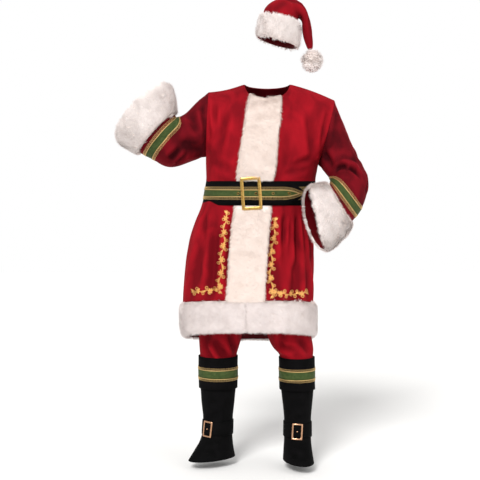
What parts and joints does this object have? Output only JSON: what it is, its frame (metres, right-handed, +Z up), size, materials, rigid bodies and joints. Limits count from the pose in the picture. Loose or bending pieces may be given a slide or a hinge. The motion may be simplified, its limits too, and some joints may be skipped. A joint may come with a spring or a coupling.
{
  "type": "santa suit: velvet coat, belt, trousers, boot tops and hat",
  "caption": "Worn costume suit in its standing pose: fur-edged coat with belt, trousers, buckled boot tops and drooping hat, all hollow.",
  "frame": {"origin": "between the wearer's shoulder tops, where the coat hangs on them", "axes": "+Z up, -Y the way the wearer faces, +X to the wearer's left"},
  "size_m": [0.9536, 0.4639, 1.7685],
  "materials": {
    "red_velvet": "soft velvet pile",
    "white_fur": "long soft pile",
    "green_ribbon": "woven ribbon with beaded gold edges",
    "black_velvet": "soft velvet pile",
    "brass": "polished cast"
  },
  "bodies": {
    "root": {"belt_buckle": "brass", "belt_eyelet_1": "brass", "belt_eyelet_2": "brass", "belt_eyelet_3": "brass", "belt_eyelet_4": "brass", "belt_ribbon": "green_ribbon", "belt_strap": "black_velvet", "boot_left_buckle": "brass", "boot_left_cuff": "black_velvet", "boot_left_ribbon": "green_ribbon", "boot_left_shaft": "black_velvet", "boot_left_strap": "black_velvet", "boot_left_stud": "brass", "boot_right_buckle": "brass", "boot_right_cuff": "black_velvet", "boot_right_ribbon": "green_ribbon", "boot_right_shaft": "black_velvet", "boot_right_strap": "black_velvet", "boot_right_stud": "brass", "coat_back": "red_velvet", "coat_front_left": "red_velvet", "coat_front_right": "red_velvet", "cuff_fur_left": "white_fur", "cuff_fur_right": "white_fur", "front_fur": "white_fur", "hat_brim": "white_fur", "hat_crown": "red_velvet", "hat_pompom": "white_fur", "hem_fur_back": "white_fur", "hem_fur_left": "white_fur", "hem_fur_right": "white_fur", "sleeve_left": "red_velvet", "sleeve_ribbon_left": "green_ribbon", "sleeve_ribbon_right": "green_ribbon", "sleeve_right": "red_velvet", "trouser_left": "red_velvet", "trouser_right": "red_velvet", "waistband": "red_velvet"}
  },
  "joints": []
}
